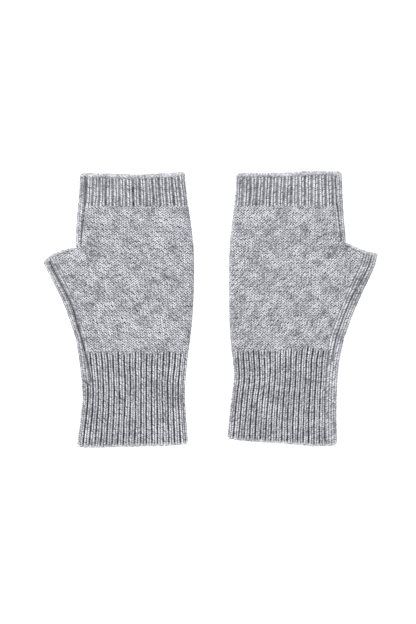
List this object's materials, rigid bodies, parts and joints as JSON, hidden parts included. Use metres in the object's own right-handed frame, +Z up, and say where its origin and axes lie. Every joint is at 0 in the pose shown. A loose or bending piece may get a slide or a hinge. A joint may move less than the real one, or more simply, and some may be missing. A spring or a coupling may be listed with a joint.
{
  "type": "fingerless gloves",
  "caption": "Pair of knitted fingerless gloves lying flat: long ribbed wrist cuffs, plain knit hands with a short open thumb, and ribbed finger bands, in heathered grey yarn.",
  "frame": {"origin": "on the surface that the gloves lie on, under the middle of the pair", "axes": "+X across the pair from the left glove to the right, +Y towards the fingers' ends, +Z up out of the surface"},
  "size_m": [0.2541, 0.2107, 0.0084],
  "materials": {
    "plain_knit": "stocking stitch in heathered light grey wool yarn",
    "rib_knit": "one-by-one rib in the same yarn, shadowed between the ribs",
    "edge_knit": "bound-off rows of the same yarn",
    "seam_yarn": "linked seam in the same yarn"
  },
  "bodies": {
    "left_hand": {"left_hand": "plain_knit", "left_finger_seam": "seam_yarn", "left_palm_seam": "seam_yarn"},
    "left_cuff": {"left_wrist_cuff": "rib_knit", "left_cast_on_edge": "rib_knit", "left_cuff_seam": "seam_yarn"},
    "left_band": {"left_finger_band": "rib_knit", "left_finger_bind_off": "edge_knit", "left_band_seam": "seam_yarn"},
    "left_thumb": {"left_thumb": "plain_knit", "left_thumb_bind_off": "edge_knit", "left_thumb_seam": "seam_yarn"},
    "right_hand": {"right_hand": "plain_knit", "right_finger_seam": "seam_yarn", "right_palm_seam": "seam_yarn"},
    "right_cuff": {"right_wrist_cuff": "rib_knit", "right_cast_on_edge": "rib_knit", "right_cuff_seam": "seam_yarn"},
    "right_band": {"right_finger_band": "rib_knit", "right_finger_bind_off": "edge_knit", "right_band_seam": "seam_yarn"},
    "right_thumb": {"right_thumb": "plain_knit", "right_thumb_bind_off": "edge_knit", "right_thumb_seam": "seam_yarn"}
  },
  "joints": [
    {"name": "right_glove_apart", "type": "slide", "parent": "left_hand", "child": "right_hand", "axis": [1, 0, 0], "range_m": [-0.02, 0.15]},
    {"name": "left_cuff_fold", "type": "hinge", "parent": "left_hand", "child": "left_cuff", "pos_m": [-0.058, -0.036, 0.0084], "axis": [-1, 0, 0], "range_deg": [0, 120]},
    {"name": "left_finger_band_fold", "type": "hinge", "parent": "left_hand", "child": "left_band", "pos_m": [-0.058, 0.0775, 0.0084], "axis": [1, 0, 0], "range_deg": [0, 120]},
    {"name": "left_thumb_fold", "type": "hinge", "parent": "left_hand", "child": "left_thumb", "pos_m": [-0.10245, 0.02, 0.0084], "axis": [0, 1, 0], "range_deg": [0, 120]},
    {"name": "right_cuff_fold", "type": "hinge", "parent": "right_hand", "child": "right_cuff", "pos_m": [0.058, -0.036, 0.0084], "axis": [-1, 0, 0], "range_deg": [0, 120]},
    {"name": "right_finger_band_fold", "type": "hinge", "parent": "right_hand", "child": "right_band", "pos_m": [0.058, 0.0775, 0.0084], "axis": [1, 0, 0], "range_deg": [0, 120]},
    {"name": "right_thumb_fold", "type": "hinge", "parent": "right_hand", "child": "right_thumb", "pos_m": [0.10245, 0.02, 0.0084], "axis": [0, -1, 0], "range_deg": [0, 120]}
  ]
}
